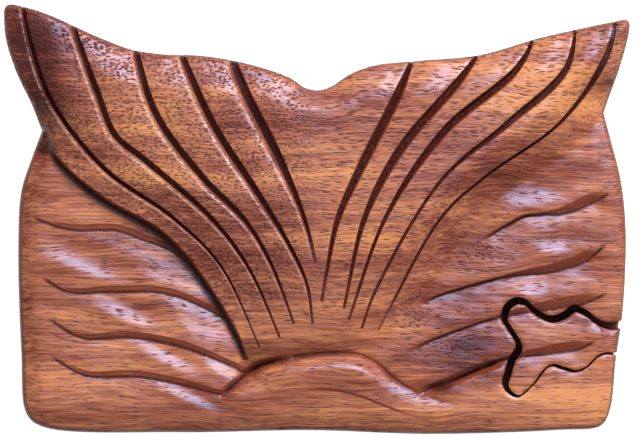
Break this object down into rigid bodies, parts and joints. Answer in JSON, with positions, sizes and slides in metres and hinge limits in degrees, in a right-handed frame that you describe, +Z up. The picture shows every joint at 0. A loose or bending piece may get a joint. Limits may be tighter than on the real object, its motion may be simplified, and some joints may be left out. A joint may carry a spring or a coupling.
{
  "type": "puzzle box",
  "caption": "Carved wooden puzzle box: whale's tail over waves, jigsaw key that lifts out, and a lid that slides off sideways on dovetail rails.",
  "frame": {"origin": "middle of the footprint's bounding box, on the underside that the box rests on", "axes": "+X along the box towards the key, +Y towards the fluke tips (the top of the picture), +Z up out of the carving"},
  "size_m": [0.1502, 0.1036, 0.0494],
  "materials": {
    "carved_wood": "satin varnish on carved raintree wood",
    "ring_wood": "satin varnish",
    "board_wood": "thin varnish",
    "rail_wood": "bare, waxed where the lid runs",
    "pin_bamboo": "bare",
    "lining_felt": "matt felt"
  },
  "bodies": {
    "base": {"bottom_board": "board_wood", "body_ring": "ring_wood", "front_rail": "rail_wood", "front_rail_pin_1": "pin_bamboo", "front_rail_pin_2": "pin_bamboo", "front_rail_pin_3": "pin_bamboo", "rear_rail": "rail_wood", "rear_rail_pin_1": "pin_bamboo", "rear_rail_pin_2": "pin_bamboo", "rear_rail_pin_3": "pin_bamboo", "wall_felt": "lining_felt", "floor_felt": "lining_felt"},
    "lid": {"lid": "carved_wood"},
    "key": {"puzzle_key": "carved_wood"}
  },
  "joints": [
    {"name": "lid_slide", "type": "slide", "parent": "base", "child": "lid", "axis": [1, 0, 0], "range_m": [0, 0.112]},
    {"name": "key_lift", "type": "slide", "parent": "lid", "child": "key", "axis": [0, 0, 1], "range_m": [0, 0.04]}
  ]
}
